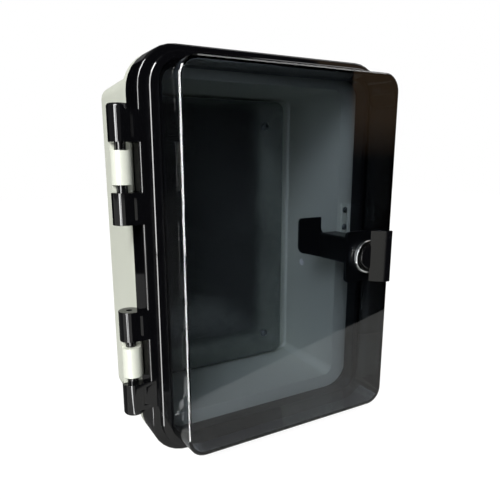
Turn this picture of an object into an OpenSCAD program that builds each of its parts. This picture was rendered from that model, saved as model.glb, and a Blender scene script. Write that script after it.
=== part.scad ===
// Hinged polycarbonate enclosure: a grey base box, a black door frame on two vertical pins,
// a smoked dished cover in the frame and a quarter-turn lock through the cover.
// X runs to the right, Y to the rear and Z up. The rear face of the base lies on Y = 0.

/* [Base] */
// Outside width of the base at its mouth
body_w = 227; // [190:1:300]
// Outside height of the base at its mouth
body_h = 316; // [300:1:420]
// Depth of the base, from its rear face to the front of its rim
base_d = 93.4; // [80:0.1:160]
// Wall of the base
base_wall = 3.5; // [2.5:0.5:5]
// Draft of each base wall over its whole depth
base_draft = 3; // [1:0.5:5]
// Outside corner radius of the base at its mouth
base_corner_r = 15; // [10:1:24]
// Rounding between the rear face and the walls
rear_round = 3; // [1:0.5:5]
// Rim beyond the wall on the hinge side
rim_left = 0.5; // [0.5:0.5:4]
// Rim beyond the wall on the lock side
rim_right = 22.5; // [18:0.5:30]
// Rim beyond the wall at the top and at the bottom
rim_top = 17; // [12:0.5:24]
// Corner radius of the rim and of the door frame
rim_corner_r = 34; // [24:1:40]
// Thickness of the rim and of its returned edge
rim_t = 3.2; // [2.5:0.1:4]
// Depth of the rim's returned edge
rim_d = 8.4; // [6:0.2:14]
// Width of the sealing ledge inside the mouth on the hinge side
ledge_w = 8; // [6:0.5:12]
// Distance between neighbouring gussets behind the rim
gusset_pitch = 62; // [40:1:100]
// Thickness of a gusset
gusset_t = 2.4; // [2:0.2:4]

/* [Mounting plate] */
// Width of the mounting plate
plate_w = 184; // [150:1:186]
// Height of the mounting plate
plate_h = 297; // [250:1:298]
// Thickness of the mounting plate
plate_t = 2; // [1.5:0.5:3]
// Corner radius of the mounting plate
plate_corner_r = 9; // [4:1:14]
// Distance from the rear face to the front of the mounting plate
plate_y = 14; // [12:0.5:20]
// Width of the plate screw pattern
plate_screw_w = 136; // [100:1:140]
// Height of the plate screw pattern
plate_screw_h = 244; // [200:1:250]
// Radius of a plate screw's shank
plate_screw_r = 2.5; // [2:0.1:3]

/* [Wall fixing] */
// Width of the wall fixing pattern
wall_fix_w = 170; // [120:1:174]
// Height of the wall fixing pattern
wall_fix_h = 260; // [200:1:270]
// Thread radius of a wall fixing insert
wall_fix_r = 3; // [2:0.5:4]
// Length of a wall fixing insert
wall_insert_l = 8; // [6:0.5:9]

/* [Door frame] */
// Depth of the skirt behind the frame's face
skirt_d = 28; // [24:0.5:40]
// Wall of the skirt and of the frame's face
frame_wall = 3; // [2.5:0.1:4]
// Gap between the skirt and the rim
seam_gap = 0.6; // [0.4:0.1:1]
// Rounding of the frame's front edge
frame_round = 2.5; // [1:0.5:4]
// Height of the raised step round the cover
step_h = 4; // [3:0.5:8]
// Distance of the step from the frame's edge on the hinge side
step_left = 8.8; // [7:0.2:12]
// Distance of the step from the frame's edge on the lock side
step_right = 7; // [5:0.2:8]
// Distance of the step from the frame's edge at the top and at the bottom
step_top = 5.5; // [4:0.1:7]
// Corner radius of the step
step_corner_r = 27; // [22:1:30]
// Width of the thick foot of the skirt that holds the gasket
gasket_foot_w = 7.5; // [7:0.5:8.5]
// Height of that foot
gasket_foot_h = 4; // [3.5:0.5:6]
// Width of the gasket
gasket_w = 3.4; // [2.5:0.1:4]
// Depth of the gasket's groove
groove_d = 2.5; // [2:0.1:3]

/* [Cover] */
// Distance of the cover's foot from the frame's edge on the hinge side
cover_left = 17; // [15:0.5:24]
// Distance of the cover's foot from the frame's edge on the lock side
cover_right = 13; // [11:0.5:20]
// Distance of the cover's foot from the frame's edge at the top and at the bottom
cover_top = 12; // [11:0.5:18]
// Height of the cover in front of the step
cover_rise = 34; // [20:1:60]
// Draft of each side wall of the cover
cover_draft = 2; // [1:0.5:4]
// Wall of the cover
cover_wall = 3; // [2:0.5:4]
// Corner radius of the cover's foot
cover_corner_r = 18; // [14:1:20]
// Rounding of the cover's front edge
cover_round = 1.6; // [0.8:0.2:2.5]
// Width of the lip under the step
lip_w = 3.5; // [2.5:0.1:4]
// Thickness of the lip
lip_t = 3; // [2:0.2:4]
// Thickness of the step's plate over the lip
step_plate_t = 3; // [2:0.2:4]
// Thickness of the seal between the lip and the step
cover_seal_t = 1; // [0.6:0.1:2]

/* [Cover retainer] */
// Depth of the retainer's wall behind the cover
retainer_d = 13; // [11:0.5:20]
// Wall of the retainer
retainer_wall = 3; // [2:0.2:3.4]
// Distance of the retainer's inside from the cover's foot at the sides
retainer_in_side = 6.6; // [4:0.2:12]
// Distance of the retainer's inside from the cover's foot at the top and at the bottom
retainer_in_top = 3; // [3:0.2:8]
// Radius of a retainer screw
retainer_screw_r = 1.7; // [1.4:0.1:2]
// Length of a retainer screw beyond its ear
retainer_screw_l = 7; // [5:0.5:8]
// Radius of a boss for a retainer screw
retainer_boss_r = 3.9; // [3.4:0.1:4]
// Length of a boss for a retainer screw
retainer_boss_l = 9; // [8:0.5:9.5]
// Distance from the middle to the inner screws on the sides
side_screw_inner = 55; // [45:1:80]
// Distance from the middle to the outer screws on the sides
side_screw_outer = 130; // [100:1:134]
// Distance from the cover's middle to the screws at the top and at the bottom
top_screw_x = 55; // [30:1:75]

/* [Hinge] */
// Distance of the hinge axis outside the frame's edge
hinge_out = 12.6; // [11:0.1:14]
// Distance of the hinge axis behind the frame's face
hinge_back = 8.6; // [8.2:0.1:12]
// Radius of a knuckle on the door
knuckle_r = 9; // [8:0.1:10.5]
// Radius of a barrel on the base
barrel_r = 8.3; // [7.5:0.1:10]
// Length of a barrel
barrel_l = 39; // [30:1:60]
// Length of the knuckle at the inner end of a hinge
knuckle_l = 25.5; // [20:0.5:32]
// Length of the knuckle at the outer end of a hinge
knuckle_out_l = 28.7; // [24:0.1:34]
// Rounding of the closed end of that knuckle
knuckle_round = 2.5; // [0.5:0.5:4]
// Distance from the middle of the box to the middle of a hinge
hinge_z = 81; // [75:1:110]
// Radius of a hinge pin
pin_r = 2.5; // [2:0.1:3]
// Radius of the stub that each knuckle sets into the barrel
stub_r = 4.4; // [3.8:0.1:6]
// Length of the stub
stub_l = 6; // [3:0.5:8]
// Thickness of an arm between a knuckle and the frame
arm_t = 8.5; // [5:0.5:10]
// Reach of an arm over the frame's face
arm_reach = 7; // [4:0.5:8.5]
// Distance that an arm stays short of the closed end of its knuckle
arm_short = 4.5; // [2:0.5:6]

/* [Lock] */
// Distance of the lock's axis from the cover's foot on the lock side
lock_in = 32; // [30:1:60]
// Distance of the lock's axis below the middle
lock_drop = 3.5; // [0:0.5:20]
// Radius of the bezel
bezel_r = 16; // [15.5:0.5:20]
// Height of the bezel
bezel_h = 4.2; // [2.4:0.2:4.6]
// Radius of the bezel's threaded barrel
bezel_barrel_r = 10; // [9.5:0.1:10.2]
// Radius of the handle's round core
core_r = 11; // [10:0.5:13]
// Height of the core in front of the cover
core_h = 6; // [5:0.5:10]
// Radius of the handle's shaft
shaft_r = 7; // [6:0.1:7.5]
// Height of the grip in front of the cover
grip_h = 16; // [13:0.5:24]
// Length of the grip
grip_l = 48; // [40:1:60]
// Width of the grip at its crest
grip_crest_w = 6; // [3:0.2:7]
// Width of the grip at its root
grip_root_w = 15; // [10:0.5:16]
// Distance of the grip's root from the lock's axis
grip_off = -0.5; // [-3:0.5:3]
// Distance that the grip leans outwards
grip_lean = 11.2; // [6:0.2:13]
// Width of the lock's case
case_w = 23; // [22.5:0.5:28]
// Height of the lock's case
case_h = 26; // [24:0.5:36]
// Height of the middle of the case above the lock's axis
case_up = 3.2; // [0:0.2:4]
// Width of the case's front plate
case_plate_w = 46; // [38:1:52]
// Height of the case's front plate
case_plate_h = 48; // [38:1:56]
// Thickness of the case's front plate
case_plate_t = 3; // [2:0.5:5]
// Distance from the case's rear end to the rim
case_to_rim = 9.6; // [9:0.2:12]
// Radius of the spindle
spindle_r = 4; // [3.5:0.1:5]
// Thickness of the cam
cam_t = 3; // [2:0.5:3]
// Reach of the cam from the axis to its outer edge
cam_reach = 37; // [32:1:40]
// Height of the cam's hook above the axis
cam_hook_h = 32; // [28:0.5:32]
// Width of the cam's hook
cam_hook_w = 27; // [20:1:28]
// Radius of the cam's hub
cam_hub_r = 12.5; // [10:0.5:14]

/* [Keeper] */
// Height of the keeper
keeper_h = 32; // [24:1:36]
// Distance of the keeper's lower end above the lock's axis
keeper_up = 11.5; // [10:0.5:16]
// Thickness of the keeper's sheet
keeper_t = 2; // [1.5:0.1:2.2]
// Length of the keeper's lip
keeper_lip_l = 13.5; // [10:0.5:14]
// Radius of a keeper screw
keeper_screw_r = 1.7; // [1.4:0.1:2]

/* [Fits] */
// Radial running clearance of the pins and shafts
running = 0.05; // [0.02:0.01:0.08]
// Clearance between parts that lie beside each other
fit = 0.3; // [0.2:0.05:0.5]
// Clearance between a fixed screw, insert or pin and its hole
snug = 0.03; // [0.02:0.01:0.1]

/* [Hidden] */
$fn = 64;

// Colours
light_grey = "#d0d3c5";
gloss_black = "#0c0c0d";
smoke = [0.2, 0.2, 0.21, 0.5];
rubber_black = "#1b1b1b";
zinc = "#b9bcbd";
chrome = "#d9dcdd";
brass = "#b5954d";

// Outlines, as [left, right, half height, corner radius]
function grow(outline, by) = [
    outline[0] - by, outline[1] + by, outline[2] + by, max(outline[3] + by, 0.5)
];
body_mouth = [-body_w / 2, body_w / 2, body_h / 2, base_corner_r];
body_rear = grow(body_mouth, -base_draft);
door = [
    body_mouth[0] - rim_left, body_mouth[1] + rim_right, body_mouth[2] + rim_top, rim_corner_r
];
mouth_lip = 0.8;
mouth = [
    body_mouth[0] + base_wall + ledge_w, body_mouth[1] - base_wall - mouth_lip,
    body_mouth[2] - base_wall - mouth_lip, base_corner_r - base_wall - mouth_lip
];
step = [door[0] + step_left, door[1] - step_right, door[2] - step_top, step_corner_r];
foot = [door[0] + cover_left, door[1] - cover_right, door[2] - cover_top, cover_corner_r];
lip = grow(foot, lip_w);
clamp = grow(foot, 0.5);
retainer_in = [
    foot[0] + retainer_in_side, foot[1] - retainer_in_side, foot[2] - retainer_in_top,
    cover_corner_r - retainer_in_top
];

// Depths, from the rear to the front
back_y = -base_wall;
rim_y = -base_d;
skirt_y = rim_y - seam_gap;
face_y = skirt_y - skirt_d;
step_y = face_y - step_h;
front_y = step_y - cover_rise;
lip_front_y = step_y + step_plate_t + cover_seal_t;
lip_rear_y = lip_front_y + lip_t;
ear_y = face_y + frame_wall + retainer_boss_l;
ear_t = 3;
retainer_end_y = lip_rear_y + retainer_d;

// Hinge
hinge_x = door[0] - hinge_out;
hinge_y = face_y + hinge_back;
pin_end = 2;
knuckle_cap = 3;
axial_gap = 0.3;

// Lock
lock_x = foot[1] - lock_in;
lock_z = -lock_drop;
lock_seal_t = 1;
bezel_y = front_y - lock_seal_t - bezel_h;
bezel_recess = 2;
bezel_flat = 2.2;
case_y = front_y + cover_wall;
bezel_barrel_end = case_y + 2;
shaft_end = case_y + 9;
socket_d = 8;
case_end = rim_y - case_to_rim;
cam_y = case_end + 0.2;
drive = spindle_r * 1.4;
cam_screw_r = 1.6;
cam_head_r = 5;
cam_head_h = 2.6;
cam_screw_l = 9;

// Keeper
keeper_z = lock_z + keeper_up;
keeper_lip_rear = cam_y - 0.6;
keeper_post_x = lock_x + cam_hook_h + 2.5;
keeper_foot_t = 2.4;
keeper_head_h = 2;
keeper_head_r = 3.3;
keeper_screw_x = keeper_post_x - 8;
keeper_screw_l = 9;

// Fixings
insert_wall = 1.5;
boss_wall = 3;
plate_insert_r = plate_screw_r + insert_wall;
wall_insert_r = wall_fix_r + insert_wall;
plate_insert_l = plate_y - plate_t - base_wall - 0.5;
plate_boss_y = -(plate_y - plate_t);
wall_boss_y = -(plate_y - plate_t) + 0.5;

// A plan with left, right, half height and corner radius, in the X-Z plane
module plan(o) {
    r = min(o[3], o[2], (o[1] - o[0]) / 2);
    translate([o[0] + r, -o[2]])
        square([o[1] - o[0] - 2 * r, 2 * o[2]]);
    translate([o[0], -o[2] + r])
        square([o[1] - o[0], 2 * o[2] - 2 * r]);
    for (x = [o[0] + r, o[1] - r], z = [-o[2] + r, o[2] - r])
        translate([x, z])
            circle(r);
}

// A plan raised from y0 to y1
module slab(o, y0, y1) {
    translate([0, y1, 0])
        rotate([90, 0, 0])
            linear_extrude(y1 - y0)
                plan(o);
}

// A ring between two plans
module ring(outer, inner, y0, y1) {
    translate([0, y1, 0])
        rotate([90, 0, 0])
            linear_extrude(y1 - y0)
                difference() {
                    plan(outer);
                    plan(inner);
                }
}

// A round bar along Y
module bar(x, z, r, y0, y1) {
    translate([x, y1, z])
        rotate([90, 0, 0])
            cylinder(h = y1 - y0, r = r);
}

// A solid of revolution about an axis along Y, from a profile of [radius, y]
module turned(x, z, profile) {
    translate([x, 0, z])
        rotate([90, 0, 0])
            rotate_extrude()
                polygon([for (p = profile) [p[0], -p[1]]]);
}

// Thin plans from which tapered and rounded forms are drawn
module leaf(o, y) {
    slab(o, y - 0.005, y + 0.005);
}

// Four places at the corners of a pattern
module at_corners(w, h) {
    for (x = [-w / 2, w / 2], z = [-h / 2, h / 2])
        translate([x, 0, z])
            children();
}

// Places of the retainer's screws, as [x, z, angle of the ear]
ear_reach = fit + retainer_boss_r;
ear_places = concat(
    [for (z = [-side_screw_outer, -side_screw_inner, side_screw_inner, side_screw_outer])
        [clamp[1] + ear_reach, z, 0]],
    [for (z = [-side_screw_outer, -side_screw_inner, side_screw_inner, side_screw_outer])
        [clamp[0] - ear_reach, z, 180]],
    [for (x = [-top_screw_x, top_screw_x])
        [(foot[0] + foot[1]) / 2 + x, clamp[2] + ear_reach, 90]],
    [for (x = [-top_screw_x, top_screw_x])
        [(foot[0] + foot[1]) / 2 + x, -clamp[2] - ear_reach, 270]]
);

// The base box: a drafted tub, a wide rim with a returned edge, gussets, bosses and hinge barrels
module base_shell() {
    color(light_grey)
        difference() {
            union() {
                difference() {
                    union() {
                        base_outside();
                        slab(door, rim_y, rim_y + rim_t);
                        ring(door, grow(door, -rim_t), rim_y, rim_y + rim_d);
                    }
                    base_inside();
                    slab(mouth, rim_y - 1, rim_y + rim_t + 2);
                }
                gussets();
                keeper_bosses();
                at_corners(plate_screw_w, plate_screw_h)
                    bar(0, 0, plate_insert_r + boss_wall, plate_boss_y, back_y + 1);
                at_corners(wall_fix_w, wall_fix_h)
                    bar(0, 0, wall_insert_r + boss_wall, wall_boss_y, back_y + 1);
                for (side = [-1, 1])
                    hinge_barrel(side * hinge_z);
            }
            at_corners(plate_screw_w, plate_screw_h)
                bar(0, 0, plate_insert_r + snug, plate_boss_y - 1, plate_boss_y + plate_insert_l);
            at_corners(wall_fix_w, wall_fix_h)
                bar(0, 0, wall_insert_r + snug, -wall_insert_l, 1);
            for (z = keeper_screw_places)
                bar(keeper_screw_x, z, keeper_screw_r + snug, rim_y - 1, rim_y + keeper_screw_l);
        }
}

module base_outside() {
    hull() {
        $fn = 32;
        leaf(body_mouth, rim_y + 0.1);
        leaf(body_rear, -rear_round);
        leaf(grow(body_rear, -rear_round * 0.3), -rear_round * 0.3);
        leaf(grow(body_rear, -rear_round), -0.005);
    }
}

module base_inside() {
    hull() {
        $fn = 32;
        leaf(grow(body_mouth, -base_wall), rim_y + rim_t);
        leaf(grow(body_rear, -base_wall - 2), back_y);
        leaf(grow(body_rear, -base_wall), back_y - 2);
    }
}

// Gussets behind the rim, on the lock side and at the top and bottom
module gussets() {
    rows = floor((body_h / 2 - base_corner_r) / gusset_pitch);
    for (i = [-rows : rows])
        translate([0, 0, i * gusset_pitch - gusset_t / 2])
            linear_extrude(gusset_t)
                polygon([
                    [body_mouth[1] - 1, rim_y + 1], [door[1] - rim_t / 2, rim_y + 1],
                    [door[1] - rim_t / 2, rim_y + rim_d - 1], [body_mouth[1] - 1, rim_y + rim_d + 14]
                ]);
    columns = floor((body_w / 2 - base_corner_r) / gusset_pitch);
    for (i = [-columns : columns], side = [0, 1])
        mirror([0, 0, side])
            translate([i * gusset_pitch - gusset_t / 2, 0, 0])
                rotate([90, 0, 90])
                    linear_extrude(gusset_t)
                        polygon([
                            [rim_y + 1, body_mouth[2] - 1], [rim_y + 1, door[2] - rim_t / 2],
                            [rim_y + rim_d - 1, door[2] - rim_t / 2], [rim_y + rim_d + 12, body_mouth[2] - 1]
                        ]);
}

keeper_screw_places = [keeper_z + keeper_h / 2 - 9, keeper_z + keeper_h / 2 + 9];

module keeper_bosses() {
    for (z = keeper_screw_places)
        bar(keeper_screw_x, z, keeper_screw_r + boss_wall, rim_y + 1, rim_y + keeper_screw_l + 1);
}

// One barrel with its web; the stubs of the knuckles show in a notch at each end
module hinge_barrel(z) {
    web_x = hinge_x - 1.5;
    translate([0, 0, z])
        difference() {
            union() {
                translate([hinge_x, hinge_y, -barrel_l / 2 + axial_gap])
                    cylinder(h = barrel_l - 2 * axial_gap, r = barrel_r);
                translate([0, 0, -barrel_l / 2 + axial_gap])
                    linear_extrude(barrel_l - 2 * axial_gap)
                        polygon([
                            [web_x, hinge_y], [web_x, rim_y + rim_d],
                            [body_mouth[0] + 1, rim_y + rim_d + 18], [body_mouth[0] + 1, rim_y + 0.2],
                            [door[0] - seam_gap, rim_y + 0.2], [door[0] - seam_gap, hinge_y + barrel_r - 1],
                            [hinge_x, hinge_y]
                        ]);
            }
            translate([hinge_x, hinge_y, -barrel_l])
                cylinder(h = 2 * barrel_l, r = pin_r + snug);
            for (end = [-1, 1])
                translate([hinge_x, hinge_y, end * (barrel_l / 2 - (stub_l + fit) / 2 + 0.5)])
                    stub_notch();
        }
}

module stub_notch() {
    notch_h = stub_l + fit + 1;
    cylinder(h = notch_h, r = stub_r + fit, center = true);
    translate([-barrel_r - 1, -barrel_r - 1, -notch_h / 2])
        cube([2 * barrel_r + 2, barrel_r + 1, notch_h]);
}

// Threaded brass inserts in the rear face, for the screws from the wall
module wall_mount_inserts() {
    color(brass)
        at_corners(wall_fix_w, wall_fix_h)
            difference() {
                bar(0, 0, wall_insert_r, -wall_insert_l, 0);
                bar(0, 0, wall_fix_r, -wall_insert_l - 1, 1);
            }
}

// Threaded brass inserts for the mounting plate
module plate_inserts() {
    color(brass)
        at_corners(plate_screw_w, plate_screw_h)
            difference() {
                bar(0, 0, plate_insert_r, plate_boss_y, plate_boss_y + plate_insert_l);
                bar(0, 0, plate_screw_r + snug, plate_boss_y - 1, plate_boss_y + plate_insert_l + 1);
            }
}

// The sheet steel mounting plate
module mounting_plate() {
    color(zinc)
        difference() {
            slab([-plate_w / 2, plate_w / 2, plate_h / 2, plate_corner_r], -plate_y, plate_boss_y);
            at_corners(plate_screw_w, plate_screw_h)
                bar(0, 0, plate_screw_r + fit, -plate_y - 1, plate_boss_y + 1);
        }
}

// A pan head screw along Y: the head's seat is at y0 and the shank runs to the rear
module pan_screw(x, z, seat, r, l, head_r, head_h) {
    turned(x, z, [
        [0, seat - head_h], [head_r * 0.62, seat - head_h], [head_r * 0.9, seat - head_h * 0.62],
        [head_r, seat - head_h * 0.15], [head_r, seat], [r, seat], [r, seat + l - r / 2],
        [r / 2, seat + l], [0, seat + l]
    ]);
}

// A pan head screw driven from the rear: the shank runs to the front
module pan_screw_from_rear(x, z, seat, r, l, head_r, head_h) {
    mirror([0, 1, 0])
        pan_screw(x, z, -seat, r, l, head_r, head_h);
}

module plate_screws() {
    color(zinc)
        at_corners(plate_screw_w, plate_screw_h)
            pan_screw(0, 0, -plate_y, plate_screw_r, plate_t + plate_insert_l - 0.5, plate_screw_r * 1.8, 3);
}

// One hinge pin, pushed in from the inner end of its hinge
module hinge_pin() {
    low = -barrel_l / 2 - knuckle_l + pin_end;
    high = barrel_l / 2 + knuckle_out_l - knuckle_cap - fit;
    color(zinc)
        translate([hinge_x, hinge_y, hinge_z])
            rotate_extrude()
                polygon([
                    [0, low], [pin_r - 0.5, low], [pin_r, low + 0.5],
                    [pin_r, high - 0.5], [pin_r - 0.5, high], [0, high]
                ]);
}

module upper_hinge_pin() {
    hinge_pin();
}

module lower_hinge_pin() {
    mirror([0, 0, 1])
        hinge_pin();
}

// The keeper: a foot on the rim, a post and a lip that the cam turns in behind
module lock_keeper() {
    color(light_grey)
        difference() {
            translate([0, 0, keeper_z])
                linear_extrude(keeper_h)
                    polygon([
                        [keeper_post_x - keeper_lip_l + 2, rim_y], [keeper_post_x + keeper_t, rim_y],
                        [keeper_post_x + keeper_t, keeper_lip_rear - keeper_t],
                        [keeper_post_x + keeper_t - keeper_lip_l, keeper_lip_rear - keeper_t],
                        [keeper_post_x + keeper_t - keeper_lip_l, keeper_lip_rear],
                        [keeper_post_x, keeper_lip_rear], [keeper_post_x, rim_y - keeper_foot_t],
                        [keeper_post_x - keeper_lip_l + 2, rim_y - keeper_foot_t]
                    ]);
            for (z = keeper_screw_places)
                bar(keeper_screw_x, z, keeper_screw_r + fit, rim_y - keeper_foot_t - 1, rim_y + 1);
        }
}

module keeper_screws() {
    color(zinc)
        for (z = keeper_screw_places)
            pan_screw(
                keeper_screw_x, z, rim_y - keeper_foot_t, keeper_screw_r,
                keeper_foot_t + keeper_screw_l - 1, keeper_head_r, keeper_head_h
            );
}

// The door frame: a rounded face with a raised step, a deep skirt, arms and knuckles
module door_frame() {
    groove_in = (gasket_foot_w - gasket_w) / 2 + 0.75;
    color(gloss_black)
        difference() {
            union() {
                difference() {
                    union() {
                        frame_outside();
                        step_outside();
                    }
                    slab(grow(door, -frame_wall), face_y + frame_wall, skirt_y - gasket_foot_h);
                    slab(grow(door, -gasket_foot_w), skirt_y - gasket_foot_h - 1, skirt_y + 1);
                    ring(
                        grow(door, -groove_in), grow(door, -groove_in - gasket_w),
                        skirt_y - groove_d, skirt_y + 1
                    );
                }
                for (place = ear_places)
                    retainer_boss(place);
                for (side = [-1, 1])
                    hinge_leaf(side);
            }
            slab(grow(foot, fit), step_y - 1, step_y + step_plate_t + 1);
            slab(grow(lip, fit), step_y + step_plate_t, lip_rear_y + fit);
            for (place = ear_places)
                bar(place[0], place[1], retainer_screw_r + snug, face_y + frame_wall + 1, ear_y + 1);
            for (side = [0, 1])
                mirror([0, 0, side])
                    translate([hinge_x, hinge_y, hinge_z - barrel_l / 2 - knuckle_l - 1])
                        cylinder(
                            h = barrel_l + knuckle_l + knuckle_out_l - knuckle_cap + 1, r = pin_r + running
                        );
        }
}

module frame_outside() {
    hull() {
        $fn = 32;
        leaf(grow(door, -frame_round), face_y + 0.005);
        leaf(grow(door, -frame_round * 0.4), face_y + frame_round * 0.2);
        leaf(grow(door, -frame_round * 0.1), face_y + frame_round * 0.56);
        leaf(door, face_y + frame_round);
        leaf(door, skirt_y - 0.005);
    }
}

module step_outside() {
    hull() {
        $fn = 32;
        leaf(grow(step, -0.9), step_y + 0.005);
        leaf(grow(step, -0.2), step_y + 0.4);
        leaf(step, step_y + 1.2);
        leaf(step, face_y + 1);
    }
}

// A boss for one retainer screw, webbed to the skirt
module retainer_boss(place) {
    bar(place[0], place[1], retainer_boss_r, face_y + frame_wall - 0.5, ear_y);
    to_skirt = place[2] == 0 ? door[1] - place[0]
        : place[2] == 180 ? place[0] - door[0]
        : door[2] - abs(place[1]);
    translate([place[0], face_y + frame_wall - 0.5, place[1]])
        rotate([0, -place[2], 0])
            translate([0, 0, -1.2])
                cube([to_skirt - frame_wall / 2, retainer_boss_l + 0.5 - fit, 2.4]);
}

// The two knuckles of one hinge, each with its arm and its stub
module hinge_leaf(side) {
    for (end = [-1, 1])
        translate([0, 0, side * hinge_z])
            mirror([0, 0, end < 0 ? 1 : 0])
                translate([0, 0, barrel_l / 2])
                    knuckle(end == side);
}

// The outer knuckle has a closed round end and a shorter arm; each arm has a sunk panel
module knuckle(outer) {
    l = outer ? knuckle_out_l : knuckle_l;
    arm_l = outer ? l - arm_short : l;
    edge = outer ? knuckle_round : 0.5;
    front = hinge_y - knuckle_r;
    panel_in = 3.8;
    panel_x = hinge_x + knuckle_r * 0.7;
    translate([hinge_x, hinge_y, 0])
        rotate_extrude()
            polygon(concat(
                [[0, l], [0, 0], [knuckle_r, 0]],
                arc([knuckle_r - edge, l - edge], edge, 0, 90)
            ));
    translate([hinge_x, hinge_y, -stub_l])
        cylinder(h = stub_l + 1, r = stub_r);
    difference() {
        linear_extrude(arm_l)
            polygon([
                [hinge_x, front], [door[0] + arm_reach - 1, front], [door[0] + arm_reach, front + 0.4],
                [door[0] + arm_reach, face_y + 1], [door[0] + frame_wall - 0.5, face_y + 1],
                [door[0] + frame_wall - 0.5, front + arm_t], [hinge_x, front + arm_t]
            ]);
        translate([panel_x, 0, panel_in])
            linear_extrude(arm_l - 2 * panel_in)
                polygon([[0, front - 1], [0, front + 1.6], [4, front], [4, front - 1]]);
    }
}

// The door gasket in the groove of the skirt's foot
module door_gasket() {
    groove_in = (gasket_foot_w - gasket_w) / 2 + 0.75;
    color(rubber_black)
        ring(
            grow(door, -groove_in - 0.1), grow(door, -groove_in - gasket_w + 0.1),
            skirt_y - groove_d, rim_y - fit
        );
}

// The smoked dished cover with its lip
module smoked_cover() {
    color(smoke)
        difference() {
            union() {
                cover_outside();
                slab(lip, lip_front_y, lip_rear_y);
            }
            cover_inside();
            bar(lock_x, lock_z, bezel_barrel_r + fit, front_y - 1, front_y + cover_wall + 1);
        }
}

module cover_outside() {
    hull() {
        $fn = 32;
        leaf(grow(foot, -cover_draft - cover_round), front_y + 0.005);
        leaf(grow(foot, -cover_draft - cover_round * 0.35), front_y + cover_round * 0.25);
        leaf(grow(foot, -cover_draft - cover_round * 0.05), front_y + cover_round * 0.75);
        leaf(foot, step_y);
        leaf(foot, lip_rear_y - 0.005);
    }
}

module cover_inside() {
    hull() {
        $fn = 32;
        leaf(grow(foot, -cover_draft - cover_wall), front_y + cover_wall);
        leaf(grow(foot, -cover_wall), step_y);
        leaf(grow(foot, -cover_wall), lip_rear_y + 0.5);
    }
}

// The seal between the cover's lip and the step
module cover_seal() {
    color(rubber_black)
        ring(lip, grow(foot, fit), lip_front_y - cover_seal_t, lip_front_y);
}

// The retainer: a frame behind the cover, clamped by screws through its ears
module cover_retainer() {
    color(gloss_black)
        difference() {
            union() {
                ring(grow(retainer_in, retainer_wall), retainer_in, lip_rear_y, retainer_end_y);
                ring(clamp, retainer_in, lip_rear_y, lip_rear_y + 2.5);
                for (place = ear_places)
                    retainer_ear(place);
            }
            for (place = ear_places)
                bar(place[0], place[1], retainer_screw_r + fit, ear_y - 1, ear_y + ear_t + 1);
        }
}

module retainer_ear(place) {
    reach_side = foot[1] + 0.5 + ear_reach - retainer_in[1] - retainer_wall / 2;
    reach_top = foot[2] + 0.5 + ear_reach - retainer_in[2] - retainer_wall / 2;
    reach = place[2] == 0 || place[2] == 180 ? reach_side : reach_top;
    bar(place[0], place[1], retainer_boss_r, ear_y, ear_y + ear_t);
    translate([place[0], ear_y, place[1]])
        rotate([0, 180 - place[2], 0])
            translate([0, 0, -retainer_boss_r])
                cube([reach, ear_t, 2 * retainer_boss_r]);
}

module retainer_screws() {
    color(zinc)
        for (place = ear_places)
            pan_screw_from_rear(
                place[0], place[1], ear_y + ear_t, retainer_screw_r, ear_t + retainer_screw_l,
                retainer_screw_r * 1.88, retainer_screw_r * 1.3
            );
}

// The lock's case: a front plate behind the cover and a long square sleeve
module lock_case() {
    color(gloss_black)
        difference() {
            union() {
                lock_block(case_plate_w, case_plate_h, 4, 0, case_y, case_y + case_plate_t);
                lock_block(case_w, case_h, 3, case_up, case_y, case_end);
            }
            bar(lock_x, lock_z, bezel_barrel_r + snug, front_y, bezel_barrel_end + 0.3);
            bar(lock_x, lock_z, shaft_r + running, front_y, shaft_end + 0.5);
            bar(lock_x, lock_z, spindle_r + running, front_y, case_end + 1);
        }
}

module lock_block(w, h, r, up, y0, y1) {
    translate([0, 0, lock_z + up])
        slab([lock_x - w / 2, lock_x + w / 2, h / 2, r], y0, y1);
}

// The chromed bezel with its threaded barrel
module lock_bezel() {
    color(chrome)
        turned(lock_x, lock_z, [
            [shaft_r + running, bezel_y + bezel_recess], [core_r + fit, bezel_y + bezel_recess],
            [core_r + fit, bezel_y + 0.3], [core_r + fit + 0.4, bezel_y], [bezel_r - bezel_flat, bezel_y],
            [bezel_r - bezel_flat * 0.3, bezel_y + bezel_flat * 0.3], [bezel_r, bezel_y + bezel_flat],
            [bezel_r, front_y - lock_seal_t],
            [bezel_barrel_r, front_y - lock_seal_t], [bezel_barrel_r, bezel_barrel_end],
            [shaft_r + running, bezel_barrel_end]
        ]);
}

// The rubber washer between the bezel and the cover
module lock_seal() {
    color(rubber_black)
        difference() {
            bar(lock_x, lock_z, bezel_r - 1.5, front_y - lock_seal_t, front_y);
            bar(lock_x, lock_z, bezel_barrel_r + fit, front_y - 5, front_y + 1);
        }
}

// The handle: a round core with a leaning grip, and a shaft with a socket for the spindle
module lock_handle() {
    core_y = bezel_y + bezel_recess - 0.2;
    color(gloss_black)
        difference() {
            union() {
                turned(lock_x, lock_z, [
                    [0, front_y - core_h], [core_r - 0.6, front_y - core_h], [core_r, front_y - core_h + 0.6],
                    [core_r, core_y], [shaft_r, core_y], [shaft_r, shaft_end], [0, shaft_end]
                ]);
                grip();
            }
            bar(lock_x, lock_z, spindle_r + snug, shaft_end - socket_d, shaft_end + 1);
        }
}

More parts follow.
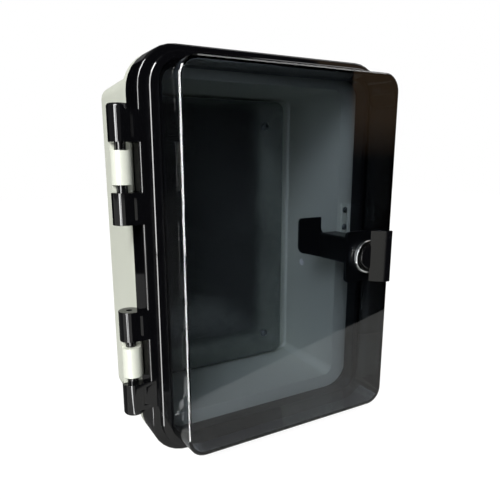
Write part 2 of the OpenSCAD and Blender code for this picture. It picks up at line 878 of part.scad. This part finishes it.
// The grip stands on the core, starts at the lock's axis and leans outwards over the bezel
module grip() {
    root_y = bezel_y - fit;
    tip_y = front_y - grip_h;
    crest = grip_off + grip_lean;
    translate([lock_x, 0, lock_z - grip_l / 2 + 0.65])
        linear_extrude(grip_l)
            polygon([
                [grip_off, root_y], [crest - 0.6, tip_y + 0.7], [crest - 0.2, tip_y + 0.2],
                [crest + 0.5, tip_y], [crest + grip_crest_w - 0.7, tip_y],
                [crest + grip_crest_w, tip_y + 0.7], [grip_off + grip_root_w, root_y]
            ]);
}

// The spindle: a round bar from the handle's socket with a square drive for the cam
module lock_spindle() {
    start = shaft_end - socket_d;
    color(zinc)
        difference() {
            union() {
                bar(lock_x, lock_z, spindle_r, start, cam_y - 0.1);
                translate([lock_x - drive / 2, cam_y - 0.2, lock_z - drive / 2])
                    cube([drive, cam_t + 0.1, drive]);
            }
            bar(lock_x, lock_z, cam_screw_r + snug, cam_y + cam_t - cam_screw_l - 1, cam_y + cam_t + 1);
        }
}

// The hook cam: a hub with a broad hook that stands up beside it
module lock_cam() {
    color(gloss_black)
        translate([lock_x, cam_y + cam_t, lock_z])
            rotate([90, 0, 0])
                linear_extrude(cam_t)
                    difference() {
                        cam_outline();
                        square([drive + 0.1, drive + 0.1], center = true);
                    }
}

// The corners of the hook are arcs, and the hub closes the outline round the spindle
module cam_outline() {
    top_r = 4;
    low_r = 8;
    left = -cam_reach;
    inner = left + cam_hook_w;
    low = -4.5;
    polygon(concat(
        arc([left + low_r, low + low_r], low_r, 270, 180),
        arc([left + top_r, cam_hook_h - top_r], top_r, 180, 90),
        arc([inner - 1, cam_hook_h - 1], 1, 90, 0),
        arc([inner + low_r, cam_hub_r + low_r + 1.5], low_r, 180, 270),
        arc([0, 0], cam_hub_r, 75, -125)
    ));
}

// Points along an arc, every 15 degrees or less
function arc(centre, r, from, to) = [
    for (i = [0 : ceil(abs(to - from) / 15)])
        let (a = from + (to - from) * i / ceil(abs(to - from) / 15))
            centre + r * [cos(a), sin(a)]
];

module cam_screw() {
    color(zinc)
        pan_screw_from_rear(
            lock_x, lock_z, cam_y + cam_t, cam_screw_r, cam_screw_l, cam_head_r, cam_head_h
        );
}

base_shell();
wall_mount_inserts();
plate_inserts();
mounting_plate();
plate_screws();
upper_hinge_pin();
lower_hinge_pin();
lock_keeper();
keeper_screws();
door_frame();
door_gasket();
smoked_cover();
cover_seal();
cover_retainer();
retainer_screws();
lock_case();
lock_bezel();
lock_seal();
lock_handle();
lock_spindle();
lock_cam();
cam_screw();
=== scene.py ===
from math import atan2, radians

import bpy
from mathutils import Matrix, Vector


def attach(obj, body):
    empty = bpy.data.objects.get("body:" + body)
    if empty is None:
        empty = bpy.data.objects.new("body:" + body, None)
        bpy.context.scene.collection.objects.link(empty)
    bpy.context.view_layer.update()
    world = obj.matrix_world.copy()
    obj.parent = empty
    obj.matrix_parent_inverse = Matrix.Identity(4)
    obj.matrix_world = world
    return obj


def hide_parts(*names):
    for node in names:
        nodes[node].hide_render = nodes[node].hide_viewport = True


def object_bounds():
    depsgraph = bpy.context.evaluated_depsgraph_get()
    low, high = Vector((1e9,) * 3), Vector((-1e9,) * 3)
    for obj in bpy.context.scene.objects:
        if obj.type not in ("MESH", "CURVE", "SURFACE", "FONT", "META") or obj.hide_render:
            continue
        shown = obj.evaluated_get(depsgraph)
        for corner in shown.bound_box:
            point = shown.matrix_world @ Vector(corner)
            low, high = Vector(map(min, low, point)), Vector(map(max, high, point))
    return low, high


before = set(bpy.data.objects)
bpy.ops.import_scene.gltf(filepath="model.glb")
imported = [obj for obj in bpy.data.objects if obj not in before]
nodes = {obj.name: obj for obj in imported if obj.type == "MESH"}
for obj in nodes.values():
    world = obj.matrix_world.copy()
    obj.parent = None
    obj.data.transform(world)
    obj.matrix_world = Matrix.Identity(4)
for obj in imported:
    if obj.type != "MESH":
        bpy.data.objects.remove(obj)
cad_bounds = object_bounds()


# ---------------------------------------------------------------------------------------------
# Base box
# A deep tub with a wide rim and two hinge barrels, injection moulded in light grey
# polycarbonate. The mould gives it a satin face, soft edges and a very fine even grain.
def linear(hex_colour):
    channels = [int(hex_colour[i : i + 2], 16) / 255 for i in (1, 3, 5)]
    lin = [c / 12.92 if c <= 0.04045 else ((c + 0.055) / 1.055) ** 2.4 for c in channels]
    return (*lin, 1.0)


def add(tree, kind, settings=None, links=None):
    node = tree.nodes.new(kind)
    for name, value in (settings or {}).items():
        if isinstance(name, int) or name in node.inputs:
            node.inputs[name].default_value = value
        else:
            setattr(node, name, value)
    for name, source in (links or {}).items():
        tree.links.new(source, node.inputs[name])
    return node


def new_material(name):
    material = bpy.data.materials.new(name)
    material.use_nodes = True
    tree = material.node_tree
    shader = tree.nodes["Principled BSDF"]
    place = add(tree, "ShaderNodeTexCoord").outputs["Object"]
    return material, tree, shader, place


# A copy of a moulded or cut piece with the small edge radius that the real one has. Edges that
# turn by more than the angle in degrees are rounded. A bevel is (depth, width): the edges that lie
# at that depth get one flat face of that width first, as a tool leaves round a front edge.
def soft_edged(node, edge, segments=3, angle=40, bevel=None):
    merge_distance = 0.000002
    flatness = radians(0.5)
    depth_slack = 0.00005
    bpy.ops.object.select_all(action="DESELECT")
    piece = bpy.data.objects.new(node + "_finished", nodes[node].data.copy())
    bpy.context.collection.objects.link(piece)
    piece.data.materials.clear()
    piece.select_set(True)
    bpy.context.view_layer.objects.active = piece
    bpy.ops.object.mode_set(mode="EDIT")
    bpy.ops.mesh.select_all(action="SELECT")
    bpy.ops.mesh.remove_doubles(threshold=merge_distance)
    bpy.ops.mesh.dissolve_limited(angle_limit=flatness)
    if bevel:
        depth, width = bevel
        bpy.ops.mesh.select_mode(type="EDGE")
        bpy.ops.mesh.select_all(action="DESELECT")
        bpy.ops.object.mode_set(mode="OBJECT")
        for side in piece.data.edges:
            ends = [piece.data.vertices[i].co.y for i in side.vertices]
            side.select = max(abs(y - depth) for y in ends) < depth_slack
        bpy.ops.object.mode_set(mode="EDIT")
        bpy.ops.mesh.bevel(offset=width, segments=1, clamp_overlap=False)
    bpy.ops.object.mode_set(mode="OBJECT")
    rounding = piece.modifiers.new("rounding", "BEVEL")
    rounding.width = edge
    rounding.segments = segments
    rounding.limit_method = "ANGLE"
    rounding.angle_limit = radians(angle)
    rounding.use_clamp_overlap = True
    rounding.miter_outer = "MITER_ARC"
    bpy.ops.object.modifier_apply(modifier="rounding")
    bpy.ops.object.shade_smooth_by_angle(angle=radians(36))
    flat_faces = piece.modifiers.new("flat_faces", "WEIGHTED_NORMAL")
    flat_faces.mode = "FACE_AREA"
    flat_faces.weight = 100
    flat_faces.keep_sharp = True
    bpy.ops.object.modifier_apply(modifier="flat_faces")
    return piece


def finish_piece(piece, node, body, material):
    piece.data.materials.append(material)
    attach(piece, body)
    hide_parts(node)


def moulded_grey():
    # Polycarbonate moulded in warm light grey: an even satin sheen with the mould's fine grain
    material, tree, shader, place = new_material("moulded_grey_polycarbonate")
    cloud = add(tree, "ShaderNodeTexNoise", {"Scale": 14.0, "Detail": 3.0}, {"Vector": place})
    tint = add(tree, "ShaderNodeValToRGB", links={"Fac": cloud.outputs["Fac"]})
    tint.color_ramp.elements[0].color = linear("#c9ccbf")
    tint.color_ramp.elements[1].color = linear("#d3d6ca")
    grain = add(tree, "ShaderNodeTexNoise", {"Scale": 900.0, "Detail": 2.0}, {"Vector": place})
    sheen = add(
        tree,
        "ShaderNodeMapRange",
        {"To Min": 0.34, "To Max": 0.44},
        {"Value": cloud.outputs["Fac"]},
    )
    bump = add(
        tree,
        "ShaderNodeBump",
        {"Strength": 0.12, "Distance": 0.0002},
        {"Height": grain.outputs["Fac"]},
    )
    # A near-white round spot, 8 mm across, mixed into the grey inside the lock side's wall, fading
    # out at its rim
    pale_spot_centre = (0.1081, -0.034, -0.034)
    pale_spot_r, pale_spot_edge_r = 0.0036, 0.0042
    reach = add(
        tree, "ShaderNodeVectorMath", {"operation": "DISTANCE", 1: pale_spot_centre}, {0: place}
    )
    mark = add(
        tree,
        "ShaderNodeMapRange",
        {"From Min": pale_spot_r, "From Max": pale_spot_edge_r, "To Min": 1.0, "To Max": 0.0},
        {"Value": reach.outputs["Value"]},
    )
    whole = add(tree, "ShaderNodeMix", {"data_type": "RGBA", 7: linear("#fdfdfd")})
    tree.links.new(mark.outputs["Result"], whole.inputs[0])
    tree.links.new(tint.outputs["Color"], whole.inputs[6])
    tree.links.new(whole.outputs[2], shader.inputs["Base Color"])
    tree.links.new(sheen.outputs["Result"], shader.inputs["Roughness"])
    tree.links.new(bump.outputs["Normal"], shader.inputs["Normal"])
    shader.inputs["IOR"].default_value = 1.58
    return material


grey = moulded_grey()
base = soft_edged("base_shell", 0.0005)
finish_piece(base, "base_shell", "base", grey)


# ---------------------------------------------------------------------------------------------
# Wall and plate inserts
# Turned brass bushes with threads, pressed warm into their bosses. They show only as small
# yellow rings in the rear face and round the plate's screws.
def turned_brass():
    # Turned brass: a warm metal with fine rings left by the tool
    material, tree, shader, place = new_material("turned_brass")
    rings = add(tree, "ShaderNodeTexNoise", {"Scale": 1500.0, "Detail": 1.0}, {"Vector": place})
    shine = add(
        tree, "ShaderNodeMapRange", {"To Min": 0.2, "To Max": 0.34}, {"Value": rings.outputs["Fac"]}
    )
    tree.links.new(shine.outputs["Result"], shader.inputs["Roughness"])
    shader.inputs["Base Color"].default_value = linear("#c9a45c")
    shader.inputs["Metallic"].default_value = 1.0
    return material


brass = turned_brass()
for node in ("wall_mount_inserts", "plate_inserts"):
    nodes[node].data.materials.clear()
    nodes[node].data.materials.append(brass)


# ---------------------------------------------------------------------------------------------
# Mounting plate
# A flat sheet of galvanised steel behind the devices. It is nearly a mirror, with a faint
# spangle and long rolling marks that blur what it reflects.
def galvanised():
    # Galvanised sheet: bright zinc with a soft spangle a few millimetres across
    material, tree, shader, place = new_material("galvanised_sheet")
    spangle = add(
        tree, "ShaderNodeTexVoronoi", {"Scale": 160.0, "Randomness": 1.0}, {"Vector": place}
    )
    stretch = add(tree, "ShaderNodeMapping", {"Scale": (900.0, 900.0, 12.0)}, {"Vector": place})
    rolling = add(
        tree,
        "ShaderNodeTexNoise",
        {"Scale": 1.0, "Detail": 2.0},
        {"Vector": stretch.outputs["Vector"]},
    )
    tone = add(tree, "ShaderNodeMix", {"data_type": "RGBA"})
    tone.inputs[6].default_value = linear("#8b8f8c")
    tone.inputs[7].default_value = linear("#999d99")
    tree.links.new(spangle.outputs["Color"], tone.inputs[0])
    shine = add(
        tree,
        "ShaderNodeMapRange",
        {"To Min": 0.12, "To Max": 0.2},
        {"Value": rolling.outputs["Fac"]},
    )
    tree.links.new(tone.outputs[2], shader.inputs["Base Color"])
    tree.links.new(shine.outputs["Result"], shader.inputs["Roughness"])
    shader.inputs["Metallic"].default_value = 0.8
    return material


zinc_sheet = galvanised()
plate = soft_edged("mounting_plate", 0.0003)
finish_piece(plate, "mounting_plate", "base", zinc_sheet)


# ---------------------------------------------------------------------------------------------
# Screws, hinge pins, keeper and spindle
# Steel pieces with a blue-bright zinc plating, which leaves a clean and slightly milky metal. The
# keeper takes the base's moulded grey instead.
def zinc_plating():
    # Blue zinc plating: bright, slightly milky metal with cloudy patches
    material, tree, shader, place = new_material("zinc_plated_steel")
    cloud = add(tree, "ShaderNodeTexNoise", {"Scale": 240.0, "Detail": 3.0}, {"Vector": place})
    shine = add(
        tree, "ShaderNodeMapRange", {"To Min": 0.2, "To Max": 0.36}, {"Value": cloud.outputs["Fac"]}
    )
    tree.links.new(shine.outputs["Result"], shader.inputs["Roughness"])
    shader.inputs["Base Color"].default_value = linear("#888c8f")
    shader.inputs["Metallic"].default_value = 1.0
    return material


# The cross in a screw head, cut by two bars that reach so far from its middle and so deep
def cross_recess(piece, centres, reach, depth):
    bar_share = 0.5
    cross_turn = 20
    for centre in centres:
        for turn in (0, 90):
            bpy.ops.object.select_all(action="DESELECT")
            bpy.ops.mesh.primitive_cube_add(size=1.0, location=centre)
            bar = bpy.context.object
            bar.scale = (reach * 2, depth * 2, reach * bar_share)
            bar.rotation_euler = (0, radians(turn + cross_turn), 0)
            cut = piece.modifiers.new("cross", "BOOLEAN")
            cut.operation = "DIFFERENCE"
            cut.object = bar
            bpy.ops.object.select_all(action="DESELECT")
            piece.select_set(True)
            bpy.context.view_layer.objects.active = piece
            bpy.ops.object.modifier_apply(modifier="cross")
            bpy.data.objects.remove(bar, do_unlink=True)


zinc = zinc_plating()
plate_screw_x, plate_screw_z, plate_head_y = 0.068, 0.122, -0.0175
plate_screw_centres = [
    (x, plate_head_y, z)
    for x in (-plate_screw_x, plate_screw_x)
    for z in (-plate_screw_z, plate_screw_z)
]
plate_screws = soft_edged("plate_screws", 0.0003)
cross_recess(plate_screws, plate_screw_centres, 0.0033, 0.0028)
finish_piece(plate_screws, "plate_screws", "base", zinc)
keeper_screw_centres = [(0.1175, -0.098, z) for z in (0.015, 0.033)]
keeper_screws = soft_edged("keeper_screws", 0.0002)
cross_recess(keeper_screws, keeper_screw_centres, 0.0018, 0.0014)
finish_piece(keeper_screws, "keeper_screws", "base", zinc)
for node in (
    "upper_hinge_pin",
    "lower_hinge_pin",
    "retainer_screws",
    "lock_spindle",
    "cam_screw",
):
    nodes[node].data.materials.clear()
    nodes[node].data.materials.append(zinc)

keeper = soft_edged("lock_keeper", 0.0004)
finish_piece(keeper, "lock_keeper", "base", grey)


# ---------------------------------------------------------------------------------------------
# Door frame
# The black frame of the door, moulded in one piece with its skirt, step, arms and hinge
# knuckles in high gloss polycarbonate.
def gloss_black():
    # Black polycarbonate from a polished mould: mirror gloss with a long, very faint orange peel
    material, tree, shader, place = new_material("gloss_black_polycarbonate")
    peel = add(tree, "ShaderNodeTexNoise", {"Scale": 120.0, "Detail": 1.0}, {"Vector": place})
    smear = add(tree, "ShaderNodeTexNoise", {"Scale": 22.0, "Detail": 4.0}, {"Vector": place})
    shine = add(
        tree,
        "ShaderNodeMapRange",
        {"To Min": 0.03, "To Max": 0.08},
        {"Value": smear.outputs["Fac"]},
    )
    bump = add(
        tree,
        "ShaderNodeBump",
        {"Strength": 0.015, "Distance": 0.0004},
        {"Height": peel.outputs["Fac"]},
    )
    tree.links.new(shine.outputs["Result"], shader.inputs["Roughness"])
    tree.links.new(bump.outputs["Normal"], shader.inputs["Normal"])
    shader.inputs["Base Color"].default_value = linear("#08080a")
    shader.inputs["IOR"].default_value = 1.58
    return material


black = gloss_black()
skirt_bevel = (-0.1215, 0.0004)
door_frame = soft_edged("door_frame", 0.0007, 3, 25, skirt_bevel)
finish_piece(door_frame, "door_frame", "door", black)


# ---------------------------------------------------------------------------------------------
# Gasket and seals
# Soft black EPDM rubber, extruded and joined, with a matt skin that takes a little dust.
def soft_rubber():
    # EPDM rubber: matt black with a faint grey bloom
    material, tree, shader, place = new_material("epdm_rubber")
    bloom = add(tree, "ShaderNodeTexNoise", {"Scale": 300.0, "Detail": 4.0}, {"Vector": place})
    tint = add(tree, "ShaderNodeValToRGB", links={"Fac": bloom.outputs["Fac"]})
    tint.color_ramp.elements[0].color = linear("#161616")
    tint.color_ramp.elements[1].color = linear("#262626")
    tree.links.new(tint.outputs["Color"], shader.inputs["Base Color"])
    shader.inputs["Roughness"].default_value = 0.75
    return material


rubber = soft_rubber()
for node in ("door_gasket", "cover_seal", "lock_seal"):
    nodes[node].data.materials.clear()
    nodes[node].data.materials.append(rubber)


# ---------------------------------------------------------------------------------------------
# Smoked cover
# A dished window moulded in smoked transparent polycarbonate 3 mm thick, held by a lip under
# the frame's step.
def smoked_polycarbonate():
    # Smoked polycarbonate: the tint lies in the material's depth, under a mirror gloss
    material, tree, shader, place = new_material("smoked_polycarbonate")
    smear = add(tree, "ShaderNodeTexNoise", {"Scale": 9.0, "Detail": 3.0}, {"Vector": place})
    shine = add(
        tree, "ShaderNodeMapRange", {"To Min": 0.0, "To Max": 0.03}, {"Value": smear.outputs["Fac"]}
    )
    tree.links.new(shine.outputs["Result"], shader.inputs["Roughness"])
    shader.inputs["Base Color"].default_value = (1, 1, 1, 1)
    shader.inputs["IOR"].default_value = 1.58
    shader.inputs["Transmission Weight"].default_value = 1.0
    path = add(tree, "ShaderNodeLightPath")
    clear = add(tree, "ShaderNodeBsdfTransparent", {"Color": (0.95, 0.95, 0.95, 1)})
    mix = add(
        tree,
        "ShaderNodeMixShader",
        links={
            0: path.outputs["Is Shadow Ray"],
            1: shader.outputs["BSDF"],
            2: clear.outputs["BSDF"],
        },
    )
    tint = add(tree, "ShaderNodeVolumeAbsorption", {"Color": linear("#a3abb5"), "Density": 500.0})
    tree.links.new(mix.outputs["Shader"], tree.nodes["Material Output"].inputs["Surface"])
    tree.links.new(tint.outputs["Volume"], tree.nodes["Material Output"].inputs["Volume"])
    return material


smoke = smoked_polycarbonate()
front_bevel = (-0.1596, 0.00085)
cover = soft_edged("smoked_cover", 0.0003, 2, 50, front_bevel)
finish_piece(cover, "smoked_cover", "door", smoke)


# ---------------------------------------------------------------------------------------------
# Cover retainer
# A black moulded frame behind the cover, pulled down on its lip by twelve screws.
def satin_black():
    # Black polycarbonate from a sparked mould: a dull satin with a fine grain
    material, tree, shader, place = new_material("satin_black_polycarbonate")
    grain = add(tree, "ShaderNodeTexNoise", {"Scale": 1100.0, "Detail": 2.0}, {"Vector": place})
    shine = add(
        tree, "ShaderNodeMapRange", {"To Min": 0.28, "To Max": 0.4}, {"Value": grain.outputs["Fac"]}
    )
    bump = add(
        tree,
        "ShaderNodeBump",
        {"Strength": 0.1, "Distance": 0.0002},
        {"Height": grain.outputs["Fac"]},
    )
    tree.links.new(shine.outputs["Result"], shader.inputs["Roughness"])
    tree.links.new(bump.outputs["Normal"], shader.inputs["Normal"])
    shader.inputs["Base Color"].default_value = linear("#111113")
    shader.inputs["IOR"].default_value = 1.58
    return material


dull_black = satin_black()
retainer = soft_edged("cover_retainer", 0.0004)
finish_piece(retainer, "cover_retainer", "door", dull_black)

case = soft_edged("lock_case", 0.0004)
finish_piece(case, "lock_case", "door", dull_black)


# ---------------------------------------------------------------------------------------------
# Lock
# A chromed bezel screwed into the case, a gloss black handle with a leaning grip, and a black
# hook cam on the end of the spindle.
def bright_chrome():
    # Chromed zinc casting: a clean mirror with faint handling marks
    material, tree, shader, place = new_material("bright_chrome")
    marks = add(tree, "ShaderNodeTexNoise", {"Scale": 600.0, "Detail": 3.0}, {"Vector": place})
    shine = add(
        tree, "ShaderNodeMapRange", {"To Min": 0.12, "To Max": 0.2}, {"Value": marks.outputs["Fac"]}
    )
    tree.links.new(shine.outputs["Result"], shader.inputs["Roughness"])
    shader.inputs["Base Color"].default_value = linear("#dfe2e3")
    shader.inputs["Metallic"].default_value = 1.0
    return material


chrome = bright_chrome()
bezel = soft_edged("lock_bezel", 0.0007, 4, 30)
finish_piece(bezel, "lock_bezel", "door", chrome)

handle = soft_edged("lock_handle", 0.0005)
finish_piece(handle, "lock_handle", "lock", black)

cam = soft_edged("lock_cam", 0.0003)
finish_piece(cam, "lock_cam", "lock", dull_black)


# ---------------------------------------------------------------------------------------------
# Camera, floor and light
# A pale floor under the box and a plain white surround, lit by a soft key from the front left.
# Black screens and bright strips about the box are seen only in its gloss, as in a studio.
camera_data = bpy.data.cameras.new("camera")
camera_data.lens = 35.54
camera_data.sensor_width = 36.0
camera_data.shift_x = 0.03
camera_data.shift_y = 0.04
camera = bpy.data.objects.new("camera", camera_data)
bpy.context.collection.objects.link(camera)
turn = (
    Matrix.Rotation(radians(-28.69), 4, "Z")
    @ Matrix.Rotation(radians(-12.82), 4, "X")
    @ Matrix.Rotation(radians(0.36), 4, "Y")
    @ Matrix.Rotation(radians(90), 4, "X")
)
camera.matrix_world = Matrix.Translation(Vector((-0.2387, -0.5034, 0.0881))) @ turn
bpy.context.scene.camera = camera

floor_z = cad_bounds[0][2] - 0.0005
bpy.ops.object.select_all(action="DESELECT")
bpy.ops.mesh.primitive_plane_add(size=6.0, location=(0, 0, floor_z))
floor = bpy.context.object
floor.name = "floor"
pale, pale_tree, pale_shader, _ = new_material("pale_floor")
pale_shader.inputs["Base Color"].default_value = linear("#aaaaa7")
pale_shader.inputs["Roughness"].default_value = 0.9
seen = add(pale_tree, "ShaderNodeLightPath")
share = add(
    pale_tree,
    "ShaderNodeMath",
    {"operation": "MULTIPLY", 1: 0.65},
    {0: seen.outputs["Is Camera Ray"]},
)
white = add(pale_tree, "ShaderNodeEmission", {"Color": (1, 1, 1, 1), "Strength": 1.4})
blend = add(
    pale_tree,
    "ShaderNodeMixShader",
    links={
        0: share.outputs["Value"],
        1: pale_shader.outputs["BSDF"],
        2: white.outputs["Emission"],
    },
)
pale_tree.links.new(blend.outputs["Shader"], pale_tree.nodes["Material Output"].inputs["Surface"])
floor.data.materials.append(pale)

world = bpy.data.worlds.new("surround")
bpy.context.scene.world = world
world.use_nodes = True
sky = world.node_tree
sky_light = sky.nodes["Background"]
sky_light.inputs["Color"].default_value = (1, 1, 1, 1)
sky_light.inputs["Strength"].default_value = 0.13
sky_path = add(sky, "ShaderNodeLightPath")
sky_white = add(sky, "ShaderNodeBackground", {"Color": (1, 1, 1, 1), "Strength": 1.0})
sky_seen = add(
    sky,
    "ShaderNodeMath",
    {"operation": "MAXIMUM"},
    {0: sky_path.outputs["Is Camera Ray"], 1: sky_path.outputs["Is Transmission Ray"]},
)
sky_mix = add(
    sky,
    "ShaderNodeMixShader",
    links={
        0: sky_seen.outputs["Value"],
        1: sky_light.outputs["Background"],
        2: sky_white.outputs["Background"],
    },
)
sky.links.new(sky_mix.outputs["Shader"], sky.nodes["World Output"].inputs["Surface"])


# An upright screen from one floor point to another, seen in reflections, and through the cover
# only where that is turned on. It gives off its colour and takes no light: at 0 it is black.
def stage_screen(name, left, right, low, high, colour, strength):
    bpy.ops.object.select_all(action="DESELECT")
    bpy.ops.mesh.primitive_plane_add(size=1.0)
    screen = bpy.context.object
    screen.name = name
    start, end = Vector(left), Vector(right)
    way = end - start
    screen.location = ((start.x + end.x) / 2, (start.y + end.y) / 2, (low + high) / 2)
    screen.rotation_euler = (radians(90), 0, atan2(way.y, way.x))
    screen.scale = (way.length, high - low, 1.0)
    material, tree, shader, _ = new_material(name)
    shader.inputs["Base Color"].default_value = (0, 0, 0, 1)
    shader.inputs["Roughness"].default_value = 1.0
    shader.inputs["Specular IOR Level"].default_value = 0.0
    shader.inputs["Emission Color"].default_value = linear(colour)
    shader.inputs["Emission Strength"].default_value = strength
    screen.data.materials.append(material)
    screen.visible_camera = False
    screen.visible_diffuse = False
    screen.visible_shadow = False
    screen.visible_transmission = False
    return screen


# A card that is bright on one side only, and not there from the other
def one_sided(card):
    tree = card.data.materials[0].node_tree
    side = add(tree, "ShaderNodeNewGeometry")
    nothing = add(tree, "ShaderNodeBsdfTransparent")
    mix = add(
        tree,
        "ShaderNodeMixShader",
        links={
            0: side.outputs["Backfacing"],
            1: tree.nodes["Principled BSDF"].outputs["BSDF"],
            2: nothing.outputs["BSDF"],
        },
    )
    tree.links.new(mix.outputs["Shader"], tree.nodes["Material Output"].inputs["Surface"])


front_screen = stage_screen(
    "dark_screen", (-0.126, -0.251), (1.6, -0.826), floor_z, 1.4, "#000000", 0
)
front_screen.visible_transmission = True
side_flag = stage_screen("side_flag", (0.15, -0.30), (0.15, 0.5), floor_z, 0.4, "#201b17", 0.4)
side_flag.visible_transmission = True
side_flag.visible_glossy = False
stage_screen("back_flag", (-0.75, 0.35), (-0.05, 0.75), floor_z, 0.8, "#000000", 0)
# The brown card fades in from its foot, so it leaves no line across the cover
brown = stage_screen("brown_card", (0.236, -0.352), (0.42, -0.413), 0.085, 0.5, "#a08468", 0.0)
brown_tree = brown.data.materials[0].node_tree
upright = add(brown_tree, "ShaderNodeTexCoord").outputs["Generated"]
rise = add(brown_tree, "ShaderNodeSeparateXYZ", links={0: upright})
fade = add(
    brown_tree,
    "ShaderNodeMapRange",
    {"From Min": 0.0, "From Max": 0.14, "To Min": 0.0, "To Max": 0.8},
    {"Value": rise.outputs["Y"]},
)
brown_tree.links.new(
    fade.outputs["Result"], brown_tree.nodes["Principled BSDF"].inputs["Emission Strength"]
)
# Two tall strips draw the thin bright lines down the cover's and the frame's edges
strip_top = 1.3
stage_screen("strip", (-0.94, -0.638), (-0.82, -0.803), floor_z, strip_top, "#ffffff", 16)
stage_screen(
    "second_strip", (-0.773, -0.871), (-0.703, -0.929), floor_z, strip_top, "#ffffff", 13
)
# Two small cards beside the lock light the side of its grip and the chamfer of its bezel
one_sided(stage_screen("grip_card", (0.0, -0.31), (0.0, -0.24), -0.10, 0.03, "#fffff6", 0.58))
one_sided(
    stage_screen("bezel_card", (0.02, -0.225), (0.02, -0.172), -0.06, 0.05, "#ffffff", 2.2)
)


# A mat with four corners that lies just over the floor and shows only in reflections
def floor_mat(name, corners, strength):
    lift = 0.0004
    mat = stage_screen(name, (0, 0), (1, 0), 0, 1, "#ffffff", strength)
    mat.location = (0, 0, floor_z + lift)
    mat.rotation_euler = (0, 0, 0)
    mat.scale = (1, 1, 1)
    for vertex, corner in zip(mat.data.vertices, corners):
        vertex.co = (*corner, 0)


floor_mat("dark_mat", ((-0.9, -0.15), (-0.09, -0.09), (-0.9, 0.7), (0.0, 0.7)), 0.1)
# The strips' light carried on along the floor to the box
floor_mat(
    "strip_foot",
    ((-0.921, -0.631), (-0.861, -0.723), (-0.138, -0.184), (-0.134, -0.190)),
    15,
)
floor_mat(
    "second_foot",
    ((-0.7415, -0.8326), (-0.6719, -0.8896), (-0.1398, -0.1622), (-0.1336, -0.1672)),
    11,
)

key_data = bpy.data.lights.new("key", "SUN")
key_data.energy = 4.9
key_data.angle = radians(30)
key = bpy.data.objects.new("key", key_data)
bpy.context.collection.objects.link(key)
key.rotation_euler = Vector((1.0, 1.0, -1.0)).to_track_quat("-Z", "Y").to_euler()

fill_place, fill_aim = Vector((0.9, -0.6, 1.4)), Vector((0, -0.1, 0))
fill_data = bpy.data.lights.new("fill", "AREA")
fill_data.size = 1.2
fill_data.energy = 9
fill = bpy.data.objects.new("fill", fill_data)
bpy.context.collection.objects.link(fill)
fill.location = fill_place
fill.rotation_euler = (fill_aim - fill_place).to_track_quat("-Z", "Y").to_euler()

bpy.context.scene.view_settings.view_transform = "Standard"
